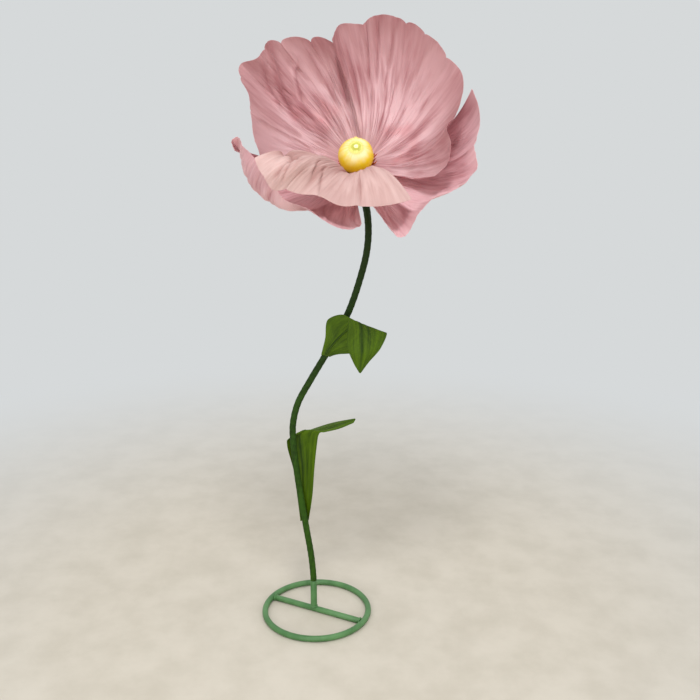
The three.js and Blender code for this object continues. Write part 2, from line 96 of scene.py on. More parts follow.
# %% A finish and its nodes
def linear(colour):
    """A colour written as three screen values from 0 to 255, as the shader wants it."""
    share = [v / 255 for v in colour]
    return (*[v / 12.92 if v <= 0.04045 else ((v + 0.055) / 1.055) ** 2.4 for v in share], 1.0)


class Finish:
    """One material, with its nodes laid out from code."""

    def __init__(self, name):
        self.material = bpy.data.materials.new(name)
        self.material.use_nodes = True
        self.tree = self.material.node_tree
        self.tree.nodes.clear()
        self.out = self.tree.nodes.new("ShaderNodeOutputMaterial")

    def add(self, kind, settings, sockets, out=0):
        """A node of this kind, as the shade that it gives out."""
        node = self.tree.nodes.new(kind)
        for key, value in settings.items():
            setattr(node, key, value)
        for key, value in sockets.items():
            if isinstance(value, Shade):
                self.tree.links.new(value.socket, node.inputs[key])
            else:
                node.inputs[key].default_value = value
        return Shade(self, node.outputs[out])

    def mix(self, share, first, second):
        """A colour between two others."""
        sockets = {0: share, 6: first, 7: second}
        return self.add("ShaderNodeMix", {"data_type": "RGBA"}, sockets, out=2)

    def stretched(self, vector, scales):
        """A place on the surface, counted in the hills of a pattern instead of metres."""
        return self.add("ShaderNodeVectorMath", {"operation": "MULTIPLY"}, {0: vector, 1: scales})

    def noise(self, vector, scales, detail=3.0, rough=0.5, bent=0.0):
        sockets = {
            "Vector": self.stretched(vector, scales),
            "Scale": 1.0,
            "Detail": detail,
            "Roughness": rough,
            "Distortion": bent,
        }
        return self.add("ShaderNodeTexNoise", {}, sockets)

    def map(self, name):
        """One of the two flat maps that each piece carries."""
        return self.add("ShaderNodeUVMap", {"uv_map": name}, {})

    def paper(self):
        """The grain map, how high a point stands in its fold, and the share of the way along."""
        fold, along, _ = self.parts(self.map("fold"))
        return self.map("grain"), fold, along

    def place(self):
        """The place on the piece, in metres, for stock without a grain."""
        return self.add("ShaderNodeTexCoord", {}, {}, out="Object")

    def parts(self, vector):
        """The three numbers of a vector, each as a shade."""
        split = self.add("ShaderNodeSeparateXYZ", {}, {0: vector}).socket.node
        return [Shade(self, number) for number in split.outputs]

    def bump(self, height, depth):
        """Small relief, depth metres from its lowest to its highest."""
        sockets = {"Height": height, "Distance": depth, "Strength": 1.0}
        return self.add("ShaderNodeBump", {}, sockets, out="Normal")

    def principled(self, sockets):
        return self.add("ShaderNodeBsdfPrincipled", {}, sockets)

    def painted(self, sockets):
        return self.done(self.principled(sockets))

    def done(self, surface):
        self.tree.links.new(surface.socket, self.out.inputs["Surface"])
        return self.material


print("shader helpers ready")

# %% [markdown]
# Crepe is a sheet with a grain: fine ridges that all run one way. On a petal they fan out from the
# foot, so the pattern is read from a flat map whose first number is the place across the sheet and
# whose second is the place along it, both in metres. The numbers of a noise say how many hills it
# has in a metre, across the grain and along it. The second map holds how high each point stands in
# its fold, and the share of the way to the rim, which lets shade be painted into the folds. Light
# that comes through the sheet from behind gets one even colour.

# %% Crepe in any colour
CREPE_RIDGE = 0.25 * MM
FOLDED_SHARE = 0.38


def crepe(name, colours, sheen=0.0, through=0.0, rough=0.78, rim_and_shade_from=0.8, rim_and_shade_share=0.5):
    """Crepe in four colours: where it is stretched, painted shade in its folds, at its rim and in its blush.
    """
    light, dark, rim, blush = [linear(colour) for colour in colours]
    finish = Finish(name)
    grain, fold, along = finish.paper()
    fine = finish.noise(grain, (210.0, 9.0, 1.0), 4.0, 0.62, bent=0.5)
    wide = finish.noise(grain, (55.0, 7.0, 1.0), 3.0, 0.55, bent=0.7)
    cloud = finish.noise(grain, (9.0, 8.0, 1.0), 2.0, 0.5)
    # Painted shade: darker where the paper lies low in its fold, with random streaks and clouds of tone on
    # top.
    depth = 1.2 * (0.55 - fold) + 1.6 * (fine - 0.5) + 1.7 * (wide - 0.5) + 0.9 * (cloud - 0.5)
    colour = finish.mix(cloud.between(0.5, 0.72) * (1 - along.between(0.35, 0.9)) * 0.55, light, blush)
    colour = finish.mix((0.3 + depth).clear(), colour, dark)
    # Towards the far end the colour turns to the third colour. On the two inner petals and on the stem
    # towards the head this is painted shade. Elsewhere it is a slight tint at the rim.
    colour = finish.mix(along.between(rim_and_shade_from, 1.0) * rim_and_shade_share, colour, rim)
    ridges = finish.noise(grain, (900.0, 30.0, 1.0), 2.0, 0.55)
    normal = finish.bump(ridges, CREPE_RIDGE)
    sockets = {
        "Base Color": colour,
        "Roughness": rough,
        "Normal": normal,
        "Sheen Weight": sheen,
        "Sheen Roughness": 0.5,
        "Specular IOR Level": 0.2,
    }
    surface = finish.principled(sockets)
    if through > 0:
        even = (1 - FOLDED_SHARE) * np.array(light) + FOLDED_SHARE * np.array(dark)
        even = tuple(even + (np.array(rim) - even) * rim_and_shade_share / 2)
        glow = finish.add("ShaderNodeBsdfTranslucent", {}, {"Color": even, "Normal": normal})
        surface = finish.add("ShaderNodeMixShader", {}, {0: through, 1: surface, 2: glow})
    return finish.done(surface)


PINK = ((250, 214, 219), (194, 136, 143), (246, 208, 211), (248, 168, 175))
# The deep pink darkens from a third of the way up. This is painted shade on the upper parts of the two inner
# petals, which curl forward and face away from the light above.
SHADED_PINK = ((251, 217, 221), (188, 130, 136), (193, 142, 143), (247, 158, 163))
# The pale pink is a greyer, paler copy of the pink. It is painted light on the front petal, which faces up
# into the light from above.
LIT_PINK = ((236, 206, 200), (198, 156, 150), (228, 199, 194), (236, 188, 184))
LEAF_GREENS = ((76, 104, 0), (36, 60, 0), (66, 95, 0), (90, 116, 2))
STEM_GREENS = ((45, 80, 8), (20, 42, 2), (24, 38, 8), (52, 86, 8))
petal_pink = crepe("petal_crepe", PINK, sheen=0.1, through=0.36)
petal_painted_shade = crepe("petal_crepe_painted_shade", SHADED_PINK, sheen=0.1, through=0.36, rim_and_shade_from=0.3, rim_and_shade_share=0.62)
petal_painted_light = crepe("petal_crepe_painted_light", LIT_PINK, sheen=0.1, through=0.35)
leaf_green = crepe("leaf_crepe", LEAF_GREENS, rough=0.6)
# The stem's strip darkens from near its foot towards the head. This is painted shade under the head.
stem_green = crepe("stem_crepe", STEM_GREENS, rough=0.7, rim_and_shade_from=0.12, rim_and_shade_share=0.9)
PETAL_FINISHES = {
    "petal_inner_left": petal_painted_shade,
    "petal_inner_right": petal_painted_shade,
    "petal_inner_front": petal_painted_light,
}
crepes = petal_pink, petal_painted_shade, petal_painted_light, leaf_green, stem_green
print("crepe finishes:", [finish.name for finish in crepes])

# %% [markdown]
# The hoop, its cross bar and the upright socket are steel under green powder coat. Powder coat is
# even in colour but has a faint orange-peel skin, so the colour stays almost flat, and the roughness
# and the relief carry the finish.

# %% Powder coat and the plain hidden stock
COAT_GREENS = linear((66, 112, 60)), linear((88, 134, 80))


def powder_coat():
    finish = Finish("powder_green")
    place = finish.place()
    peel = finish.noise(place, (420.0, 420.0, 420.0), 2.0, 0.5)
    patches = finish.noise(place, (18.0, 18.0, 18.0), 3.0, 0.55)
    colour = finish.mix(patches.between(0.35, 0.7), *COAT_GREENS)
    sockets = {
        "Base Color": colour,
        "Roughness": 0.38 + 0.2 * patches,
        "Normal": finish.bump(peel, 0.12 * MM),
        "Specular IOR Level": 0.5,
    }
    return finish.painted(sockets)


def drawn_steel():
    finish = Finish("bare_steel")
    drawn = finish.noise(finish.place(), (900.0, 900.0, 25.0), 2.0, 0.5)
    sockets = {
        "Base Color": linear((168, 170, 170)),
        "Metallic": 1.0,
        "Roughness": 0.28 + 0.2 * drawn,
        "Normal": finish.bump(drawn, 0.03 * MM),
    }
    return finish.painted(sockets)


def foam(name, colour):
    finish = Finish(name)
    sockets = {"Vector": finish.place(), "Scale": 400.0}
    beads = finish.add("ShaderNodeTexVoronoi", {}, sockets, out="Distance")
    sockets = {"Base Color": linear(colour), "Roughness": 0.9, "Normal": finish.bump(beads, 0.3 * MM)}
    return finish.painted(sockets)


coat, steel = powder_coat(), drawn_steel()
white_foam, pink_foam = foam("white_foam", (236, 236, 232)), foam("pink_foam", (226, 158, 160))
print("stand finishes:", coat.name, steel.name, white_foam.name, pink_foam.name)

# %% [markdown]
# Every paper piece starts as a grid of points. The mesh is that grid twice, half a thickness to each
# side, closed round its edges, so its cut edge shows like that of real stock. A Solidify modifier
# would do the same, but here the maps and the thickness come from one place.

# %% Meshes from grids
def piece(name, points, faces, maps, material, replaces):
    """A mesh object that stands for measured nodes and moves with the whole."""
    mesh = bpy.data.meshes.new(name)
    mesh.from_pydata(points.tolist(), [], faces)
    corner = np.zeros(len(mesh.loops), int)
    mesh.loops.foreach_get("vertex_index", corner)
    for key, values in maps.items():
        layer = mesh.uv_layers.new(name=key)
        layer.data.foreach_set("uv", values[corner].astype(np.float32).ravel())
    mesh.polygons.foreach_set("use_smooth", np.ones(len(mesh.polygons), bool))
    mesh.set_sharp_from_angle(angle=radians(50))
    mesh.materials.append(material)
    made = bpy.data.objects.new(name, mesh)
    scene.collection.objects.link(made)
    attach(made, "root")
    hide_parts(*replaces)
    print(name, "has", len(points), "points")


def normals(grid):
    """Which way the surface faces at each point of a grid."""
    across = np.gradient(grid, axis=0)
    along = np.gradient(grid, axis=1)
    out = np.cross(across, along)
    return out / np.maximum(np.linalg.norm(out, axis=2, keepdims=True), 1e-12)


def grid_faces(n, m, start, turned, looped=False, ringed=False):
    """Quads of an n by m grid, numbered from start. Looped closes it across, ringed along."""
    rows, columns = np.arange(n if looped else n - 1), np.arange(m if ringed else m - 1)
    i, j = np.meshgrid(rows, columns, indexing="ij")
    next_i, next_j = (i + 1) % n, (j + 1) % m
    quads = np.stack([i * m + j, next_i * m + j, next_i * m + next_j, i * m + next_j], axis=-1)
    quads = quads.reshape(-1, 4)
    return start + (quads[:, ::-1] if turned else quads)


def seam_faces(line, other):
    """Quads between two lines of point numbers."""
    return np.stack([line[1:], line[:-1], other[:-1], other[1:]], axis=-1)


def cut_size(name, grid):
    """Prints how wide and how long the strip or petal is before it is pleated and bent."""
    across, along = np.diff(grid, axis=0), np.diff(grid, axis=1)
    width = np.linalg.norm(across, axis=2).sum(axis=0).max()
    length = np.linalg.norm(along, axis=2).sum(axis=1).max()
    area = np.linalg.norm(np.cross(across[:, :-1], along[:-1]), axis=2).sum()
    print(name, "is cut", round(width / MM), "by", round(length / MM), "mm,", round(area / CM**2), "cm2")


def sheet(name, grid, thickness, maps, material, replaces, looped=False):
    """A closed sheet of even thickness about a grid of points."""
    cut_size(name, grid)
    n, m, _ = grid.shape
    if looped:
        out = normals(np.concatenate([grid[-2:], grid, grid[:2]]))[2:-2]
    else:
        out = normals(grid)
    points = np.concatenate([(grid + side * thickness / 2 * out).reshape(-1, 3) for side in (1, -1)])
    upper = np.arange(n * m).reshape(n, m)
    lower = upper + n * m
    round_trip = [*range(n), 0] if looped else range(n)
    faces = [grid_faces(n, m, 0, False, looped), grid_faces(n, m, n * m, True, looped)]
    faces.append(seam_faces(upper[round_trip, 0], lower[round_trip, 0]))
    faces.append(seam_faces(lower[round_trip, -1], upper[round_trip, -1]))
    if not looped:
        faces.append(seam_faces(lower[0], upper[0]))
        faces.append(seam_faces(upper[-1], lower[-1]))
    both = {key: np.concatenate([values.reshape(-1, 2)] * 2) for key, values in maps.items()}
    piece(name, points, np.concatenate(faces).tolist(), both, material, replaces)


def distances(line):
    """How far along a line each of its points lies."""
    return np.concatenate([[0], np.cumsum(np.linalg.norm(np.diff(line, axis=0), axis=1))])


def grain_maps(grid, fold):
    """Flat maps of a grid: metres across and along it, then fold depth and share of the way along."""
    n, m, _ = grid.shape
    across, along = distances(grid[:, m // 2]), distances(grid[n // 2])
    grain = np.stack(np.broadcast_arrays(across[:, None], along[None, :]), axis=-1)
    share = np.broadcast_to(np.linspace(0, 1, m)[None, :], (n, m))
    return {"grain": grain, "fold": np.stack([np.broadcast_to(fold, (n, m)), share], axis=-1)}


print("grid helpers ready")

# %% [markdown]
# Paper never lies twice the same way, but the lesson must come out the same each time it is run. A
# lattice of seeded random heights with a smooth blend between them gives wrinkles that repeat
# exactly, and stretching one axis turns blobs into pleats.

# %% Smooth lines and seeded wrinkles
LATTICE = 128


def around(count):
    """Angles evenly round a full turn."""
    return np.linspace(0, 2 * pi, count, endpoint=False)


def rings(count, shares):
    """Angles for rings of count points, and the share of the way round and along at each point."""
    turn = around(count)[:, None]
    return turn, *np.broadcast_arrays(turn / (2 * pi), shares[None, :])


def wander(x, y, seed):
    """Smooth random heights from -1 to 1, with one hill or dip to each unit of x and y."""
    lattice = np.random.default_rng(seed).uniform(-1, 1, (LATTICE, LATTICE))
    left, low = np.floor(x).astype(int), np.floor(y).astype(int)
    u, v = x - left, y - low
    u, v = u * u * (3 - 2 * u), v * v * (3 - 2 * v)
    left, right, low, high = left % LATTICE, (left + 1) % LATTICE, low % LATTICE, (low + 1) % LATTICE
    near = lattice[left, low] * (1 - u) + lattice[right, low] * u
    far = lattice[left, high] * (1 - u) + lattice[right, high] * u
    return near * (1 - v) + far * v


def rise(x, low, high):
    """0 below low, 1 above high, and a smooth rise between."""
    share = np.clip((x - low) / (high - low), 0, 1)
    return share * share * (3 - 2 * share)


def through(rows, s):
    """Values on a smooth curve through rows of numbers, at each s from 0 to 1."""
    rows = np.asarray(rows, float)
    padded = np.concatenate([[2 * rows[0] - rows[1]], rows, [2 * rows[-1] - rows[-2]]])
    place = np.clip(s * (len(rows) - 1), 0, len(rows) - 1 - 1e-9)
    start = np.floor(place).astype(int)
    w = (place - start)[..., None]
    a, b, c, d = [padded[start + k] for k in range(4)]
    square = (2 * a - 5 * b + 4 * c - d) * w**2
    cube = (3 * b - a - 3 * c + d) * w**3
    return 0.5 * (2 * b + (c - a) * w + square + cube)


print("wrinkle helpers ready")

# %% [markdown]
# The camera stands a little above the height of the flower's face and looks down at about 15
# degrees, which makes an oval of the hoop. Its lens and place were worked out from that oval.

# %% Camera
camera_place = (0.0939, -2.1336, 1.3332)
camera_down = 14.912
camera_lens = 43.71
camera_sensor = 36.0
camera = bpy.data.objects.new("camera", bpy.data.cameras.new("camera"))
camera.data.lens = camera_lens
camera.data.sensor_width = camera_sensor
camera.location = camera_place
camera.rotation_euler = (radians(90 - camera_down), 0, 0)
scene.collection.objects.link(camera)
scene.camera = camera
print("camera at", camera_place, "looking", camera_down, "degrees down")

# %% [markdown]
# The flower's head leans back, so its face looks up and forward. Petals are easiest to shape round
# an upright axis and to tip afterwards: a place is given as an angle round the axis, a distance from
# it and a height along it, and one function turns that into a place in the room.

# %% The head's own axes
HEAD_CENTRE = np.array([108, 4, 1236]) * MM
HEAD_RISE = radians(31)
to_right = np.array([1.0, 0.0, 0.0])
up_face = np.array([0.0, sin(HEAD_RISE), cos(HEAD_RISE)])
forward = np.array([0.0, -cos(HEAD_RISE), sin(HEAD_RISE)])


def in_head(turn, out, height):
    """The place that lies turn radians round the head's axis, out from it and height along it."""
    flat = np.multiply.outer(out * np.cos(turn), to_right)
    flat = flat + np.multiply.outer(out * np.sin(turn), up_face)
    return HEAD_CENTRE + flat + np.multiply.outer(height, forward)


print("head axis", forward.round(3))

# %% [markdown]
# Each petal is one piece of crepe, cut with a scalloped top, gathered into pleats at its foot and
# pulled over the thumbs so that it bellies out. A petal is drawn by ribs that run from foot to rim.
# Each rib holds the angle of its tip, then how far out and how high its belly lies, then the same of
# its tip, in degrees and millimetres. A scallop holds its place across the petal and the depth of
# its notch, as shares. A fold holds where it starts and ends, its width, and its depth in
# millimetres. The ribs give the large form only. Sculpting by hand would work too, but ribs can be
# corrected one at a time against the real flower.

# %% The six petals
PETALS = {}
PETALS["petal_inner_left"] = {
    "layer": 2, "foot": (60, 186), "seed": 11,
    "folds": [
        ((0.61, 0.5), (0.38, 1.0), 0.03, 8), ((0.2, 0.4), (0.19, 0.95), 0.03, 7),
        ((0.12, 0.4), (0.05, 0.85), 0.03, 7), ((0.64, 0.6), (0.48, 0.97), 0.02, 5),
        ((0.48, 0.5), (0.27, 0.85), 0.02, 5), ((0.8, 0.3), (0.84, 0.95), 0.02, 5),
        ((0.35, 0.1), (0.3, 0.45), 0.02, 4),
    ],
    "scallops": [
        (0, 0.03), (0.15, 0.055), (0.305, 0.045), (0.42, 0.03), (0.66, 0.03), (0.82, 0.02),
        (0.94, 0.015), (1, 0.02),
    ],
    "ribs": [
        (102, 165, 20, 239, 164), (114, 172, 42, 257, 189), (126, 185, 52, 269, 198),
        (135, 195, 50, 295, 201), (143, 200, 48, 289, 186), (150, 200, 50, 316, 173),
        (163, 187, 50, 259, 179), (176, 172, 55, 236, 180), (198, 150, 60, 223, 169),
    ],
}
PETALS["petal_inner_right"] = {
    "layer": 1, "foot": (68, -22), "seed": 21,
    "folds": [
        ((0.06, 0.35), (0.08, 0.9), 0.02, 5), ((0.17, 0.6), (0.2, 1.0), 0.012, 5),
        ((0.23, 0.6), (0.26, 1.0), 0.012, 5), ((0.28, 0.55), (0.32, 1.0), 0.012, 5),
        ((0.47, 0.55), (0.5, 0.95), 0.025, -7), ((0.44, 0.18), (0.42, 0.5), 0.015, 5),
        ((0.225, 0.14), (0.25, 0.4), 0.015, 4), ((0.3, 0.2), (0.29, 0.6), 0.015, 4),
        ((0.575, 0.3), (0.58, 0.65), 0.02, 5), ((0.72, 0.25), (0.7, 0.9), 0.02, 4),
        ((0.86, 0.2), (0.88, 0.8), 0.02, 4),
    ],
    "scallops": [
        (0, 0.02), (0.186, 0.025), (0.352, 0.03), (0.41, 0.02), (0.49, 0.03), (0.66, 0.015),
        (0.8, 0.012), (0.93, 0.012), (1, 0.03),
    ],
    "ribs": [
        (106, 158, 62, 229, 197), (99, 165, 52, 255, 200), (89, 182, 44, 260, 198),
        (81, 190, 42, 281, 203), (69, 198, 40, 289, 207), (54, 196, 38, 280, 205),
        (38, 190, 33, 271, 199), (23, 190, 30, 267, 200), (6, 180, 30, 231, 187),
        (-2, 172, 32, 209, 181), (-13, 175, 36, 224, 184), (-24, 165, 45, 228, 184),
        (-36, 150, 60, 210, 184),
    ],
}
PETALS["petal_inner_front"] = {
    "layer": 0, "foot": (318, 200), "seed": 31, "pleated": 0.5, "turned_over": True,
    "folds": [
        ((0.6, 0.6), (0.5, 1.0), 0.015, 4), ((0.67, 0.55), (0.6, 0.8), 0.015, 4),
        ((0.87, 0.6), (0.71, 0.95), 0.02, 4), ((0.86, 0.6), (0.8, 0.95), 0.03, 6),
        ((0.3, 0.5), (0.28, 1.0), 0.02, 4),
    ],
    "dents": [(1.0, 0.625, 0.14, 0.04, 24)],
    "scallops": [(0, 0.01), (0.3, 0.012), (0.5, 0.012), (0.675, 0.03), (0.86, 0.012), (1, 0.01)],
    "ribs": [
        (302, 90, 170, 229, 203), (290, 75, 195, 223, 215), (276, 70, 165, 219, 221),
        (262, 70, 145, 217, 222), (247, 80, 140, 210, 216), (234, 100, 245, 232, 224),
        (226, 130, 318, 260, 233), (217, 145, 272, 254, 237), (207, 150, 240, 248, 235),
    ],
}
PETALS["petal_outer_left"] = {
    "layer": 3, "foot": (266, 176), "seed": 41,
    "folds": [
        ((0.5, 0.55), (0.45, 0.95), 0.02, 5), ((0.25, 0.5), (0.2, 0.95), 0.02, 6),
        ((0.66, 0.4), (0.62, 0.95), 0.02, 5),
    ],
    "scallops": [
        (0, 0.04), (0.2, 0.015), (0.38, 0.02), (0.55, 0.015), (0.75, 0.015), (0.9, 0.008),
        (1, 0.01),
    ],
    "ribs": [
        (273, 140, 80, 233, 161), (264, 160, 90, 264, 186), (246, 200, 90, 244, 182),
        (230, 262, 90, 241, 195), (217, 312, 80, 245, 210), (204, 325, 70, 250, 209),
        (192, 305, 66, 262, 188), (186, 275, 60, 275, 173), (188, 262, 52, 285, 148),
    ],
}
PETALS["petal_outer_right"] = {
    "layer": 3, "foot": (284, 378), "seed": 51,
    "folds": [
        ((0.42, 0.4), (0.42, 1.0), 0.02, 7), ((0.68, 0.5), (0.68, 1.0), 0.02, 7),
        ((0.2, 0.45), (0.19, 0.9), 0.02, 7),
    ],
    "scallops": [(0, 0.03), (0.15, 0.01), (0.4, 0.02), (0.66, 0.02), (0.8, 0.012), (1, 0.006)],
    "ribs": [
        (285, 150, 90, 238, 167), (290, 170, 80, 284, 173), (303, 170, 90, 266, 197),
        (314, 195, 80, 259, 199), (328, 220, 65, 284, 192), (337, 240, 45, 291, 186),
        (345, 240, 35, 268, 207), (357, 243, 22, 276, 204), (366, 250, 10, 282, 207),
        (376, 255, 0, 276, 215),
    ],
}
PETALS["petal_outer_back"] = {
    "layer": 4, "foot": (150, 40), "seed": 61, "grid": (160, 44),
    "scallops": [
        (0, 0.03), (0.18, 0.04), (0.35, 0.04), (0.5, 0.03), (0.68, 0.04), (0.85, 0.04), (1, 0.03),
    ],
    "ribs": [
        (155, 150, -4, 220, 50), (130, 160, -4, 250, 72), (95, 165, -4, 258, 80),
        (60, 160, -4, 250, 72), (35, 150, -4, 220, 50),
    ],
}
FOOT_RADIUS = 41 * MM
FOOT_HEIGHT = 6 * MM
LAYER_STEP = 1.6 * MM
FULLNESS = 0.72
PAPER = 0.6 * MM
PETAL_GRID = (340, 90)


def scalloped(petal, s):
    """How near each s is to the middle of its lobe, and how deep the notches beside it are."""
    places, depths = np.array(petal["scallops"]).T
    lobe = np.clip(np.searchsorted(places, s, side="right") - 1, 0, len(places) - 2)
    phase = (s - places[lobe]) / (places[lobe + 1] - places[lobe])
    depth = depths[lobe] + (depths[lobe + 1] - depths[lobe]) * phase
    return np.abs(np.sin(pi * phase))[:, None], depth[:, None]


def petal_grid(petal, s, t):
    """The petal's large form, with its scalloped rim."""
    ribs = through(petal["ribs"], s)[:, None, :] * np.array([1, MM, MM, MM, MM])
    azimuth, belly_out, belly_up, tip_out, tip_up = np.moveaxis(ribs, -1, 0)
    swell, depth = scalloped(petal, s)
    way = t[None, :] * (1 - depth * (1 - swell**0.6))
    foot_out = FOOT_RADIUS + LAYER_STEP * petal["layer"]
    foot_up = FOOT_HEIGHT - LAYER_STEP * petal["layer"]

    def bent(foot, belly, tip):
        near, far = foot + FULLNESS * (belly - foot), tip + FULLNESS * (belly - tip)
        back = 1 - way
        return foot * back**3 + 3 * near * way * back**2 + 3 * far * way**2 * back + tip * way**3

    first, last = petal["foot"]
    foot_azimuth = (first + (last - first) * s)[:, None]
    turn = np.radians(foot_azimuth + (azimuth - foot_azimuth) * np.sqrt(way))
    return in_head(turn, bent(foot_out, belly_out, tip_out), bent(foot_up, belly_up, tip_up))


print("petals:", list(PETALS))

# %% [markdown]
# Pleats come next: a few broad folds, many narrow ridges that start at the gathered foot and die out
# towards the rim, a crease below each notch of the rim, and lobes that roll back. They are real
# relief, because they catch the light and show in the outline. Only the fine grain is left to bump.

# %% Pleats and creases
# How deep each kind of relief is, in millimetres.
BROAD, RIDGED, NARROW, GATHERED, CREASED, ROLLED = 8.0, 3.4, 1.7, 3.2, 3.5, 5.0
FEATHER = 0.08


def folds(petal, s, t):
    """The folds that can be told apart on this petal, each from one place to another."""
    height = np.zeros(s.shape)
    for (start_s, start_t), (end_s, end_t), width, depth in petal.get("folds", []):
        way = np.clip((t - start_t) / (end_t - start_t), 0, 1)
        middle = start_s + (end_s - start_s) * way
        begun = rise(t, start_t - FEATHER, start_t + FEATHER)
        ended = rise(t, end_t - FEATHER, end_t + FEATHER)
        off = (s - middle) / width
        valley = np.exp(-np.abs(off) * 1.6) - 0.45 * np.exp(-((off - 1.4) ** 2))
        height = height - depth * begun * (1 - ended) * valley
    for dent_s, dent_t, width, length, depth in petal.get("dents", []):
        height = height - depth * np.exp(-(((s - dent_s) / width) ** 2) - np.abs(t - dent_t) / length)
    return height


def pleats(petal, s, t):
    """Height of the relief over the petal's form, in metres."""
    seed = petal["seed"]
    swell, depth = scalloped(petal, s)
    s, t = np.broadcast_arrays(s[:, None], t[None, :])
    drift = 0.7 * wander(s * 5, t * 2.5, seed)
    broad = wander(s * 8 + drift, t * 1.8, seed + 1)
    gathers = (1 - 2 * np.abs(wander(s * 22, t * 1.2, seed + 5)) ** 0.7) * (1 - rise(t, 0.25, 0.6))
    ridges = 1 - 2 * np.abs(wander(s * 26 + 2 * drift, t * 2.4, seed + 2)) ** 0.8
    narrow = 1 - 2 * np.abs(wander(s * 66 + 3 * drift, t * 4.6, seed + 3)) ** 0.8
    kept = 0.35 + 0.65 * rise(wander(s * 7 + 5, t * 3, seed + 4), -0.4, 0.4)
    in_reach = rise(t, 0.02, 0.22)
    fading = 1 - 0.55 * rise(t, 0.5, 1.0)
    crease = -np.exp(-swell / 0.12) * rise(t, 0.55, 0.98) * depth / 0.05
    roll = -(swell**1.2) * rise(t, 0.82, 1.08) ** 1.5
    height = BROAD * broad * t * in_reach + GATHERED * gathers * in_reach
    height = height + (RIDGED * ridges + NARROW * narrow) * kept * in_reach * fading
    height = height * petal.get("pleated", 1.0) + folds(petal, s, t)
    return (height + CREASED * crease + ROLLED * roll) * MM


def make_petal(name, petal, material):
    """One petal as a sheet of paper. Its face is the side that its pleats rise on."""
    n, m = petal.get("grid", PETAL_GRID)
    s, t = np.linspace(0, 1, n), np.linspace(0, 1, m)
    form = petal_grid(petal, s, t)
    relief = pleats(petal, s, t)
    grid = form + petal["facing"] * relief[..., None] * normals(form)
    # The fold map drives the crepe's painted shade: the lower a point lies in its pleats, the darker.
    maps = grain_maps(form, np.clip(0.5 + relief / (12 * MM), 0, 1))
    maps["grain"] += petal["seed"] * 0.13
    sheet(name + "_paper", grid, PAPER, maps, material, [name])


# Ribs that run clockwise round the axis turn a petal's face away from the ball, and the front petal
# is bent over so far that its back is the side to be seen.
for petal_name, petal in PETALS.items():
    petal["facing"] = 1.0 if petal["foot"][1] > petal["foot"][0] else -1.0
    if petal.get("turned_over"):
        petal["facing"] *= -1
    make_petal(petal_name, petal, PETAL_FINISHES.get(petal_name, petal_pink))

# %% [markdown]
# The yellow centre is a foam ball under a skin of stretched crepe. The skin is a deep yellow below
# and cream near the top, where it is gathered into a green ring round a pale button. The gathers are
# shallow ribs that grow towards the top, and some spare skin stands proud on the upper side. The ball
# is therefore turned from rings of points with its radius rippled, instead of starting from a
# ready-made sphere.

# %% Ball skin finish
def ball_crepe():
    finish = Finish("yellow_crepe")
    grain, fold, along = finish.paper()
    streaks = finish.noise(grain, (260.0, 14.0, 1.0), 3.0, 0.6)
    blotch = finish.noise(grain, (30.0, 24.0, 1.0), 2.0, 0.5)
    low = finish.mix(along.between(0.1, 0.42), linear((255, 224, 0)), linear((255, 228, 4)))
    top = (along + 0.5 * (blotch - 0.5)).between(0.56, 0.86)
    colour = finish.mix(top, low, linear((253, 244, 184)))
    tied = along.between(0.82, 0.88) * (1 - along.between(0.95, 0.99))
    colour = finish.mix(tied * 0.7, colour, linear((228, 228, 108)))
    shade = ((0.5 - fold) * 0.8 + (streaks - 0.5) * 0.6).clear()
    colour = finish.mix(shade, colour, linear((250, 204, 0)))
    ridges = finish.noise(grain, (1100.0, 50.0, 1.0), 2.0, 0.5)
    sockets = {
        "Base Color": colour,
        "Roughness": 0.5,
        "Normal": finish.bump(ridges, 0.15 * MM),
        "Sheen Weight": 0.1,
        "Specular IOR Level": 0.35,
    }
    return finish.painted(sockets)


yellow = ball_crepe()
print(yellow.name)

# %% Turned ball
BALL_RADIUS = 43 * MM
BALL_SKIN = 1.2 * MM
BALL_HEIGHT = 44 * MM
BALL_FOOT = radians(-72)
BALL_TOP = radians(88.5)
GATHERS = 22


def ball_skin():
    lift = np.linspace(BALL_FOOT, BALL_TOP, 64)
    turn, s, t = rings(240, (lift - BALL_FOOT) / (BALL_TOP - BALL_FOOT))
    near_top = rise(t, 0.45, 0.95)
    ribs = np.abs(np.sin(GATHERS * pi * s + 0.8 * wander(s * 9, t * 2, 71))) ** 0.7
    flats = wander(s * 9, t * 3, 72)
    tied = rise(t, 0.83, 0.88) * (1 - rise(t, 0.94, 0.99))
    relief = ((ribs - 0.6) * near_top + 1.1 * flats + 1.4 * tied * ribs) * MM
    proud = np.exp(-(((turn - pi / 2) / 0.09) ** 2) - ((lift - 0.55) / 0.2) ** 2)
    radius = BALL_RADIUS - BALL_SKIN / 2 + relief + (2.4 * proud - 0.3) * MM
    grid = in_head(turn, radius * np.cos(lift), BALL_HEIGHT + radius * np.sin(lift))
    maps = grain_maps(grid, np.clip(0.5 + relief / (1.5 * MM), 0, 1))
    sheet("ball_skin", grid, BALL_SKIN, maps, yellow, ["pod_skin"], looped=True)


ball_skin()

# %% [markdown]
# The gathered ends of the skin are tied off in a ring and pressed flat, with a pale tuft in the
# middle. On the real flower the ring has a green tinge, from the strip that ties it. It is turned as
# one ruffled disc whose height and colour change with the distance from the axis.

# %% Gathered button
def button_crepe():
    finish = Finish("cream_crepe")
    grain, fold, along = finish.paper()
    streaks = finish.noise(grain, (500.0, 60.0, 1.0), 3.0, 0.6)
    ring = along.between(0.3, 0.5)
    colour = finish.mix(ring, linear((253, 246, 216)), linear((216, 222, 104)))
    shade = ((0.55 - fold) * 0.8 + (streaks - 0.5) * 0.5).clear()
    colour = finish.mix(shade, colour, linear((176, 178, 70)))
    ridges = finish.noise(grain, (1200.0, 90.0, 1.0), 2.0, 0.5)
    sockets = {"Base Color": colour, "Roughness": 0.6, "Normal": finish.bump(ridges, 0.12 * MM)}
    return finish.painted(sockets)


BUTTON_RADIUS = 12.5 * MM
RUFFLES = 17


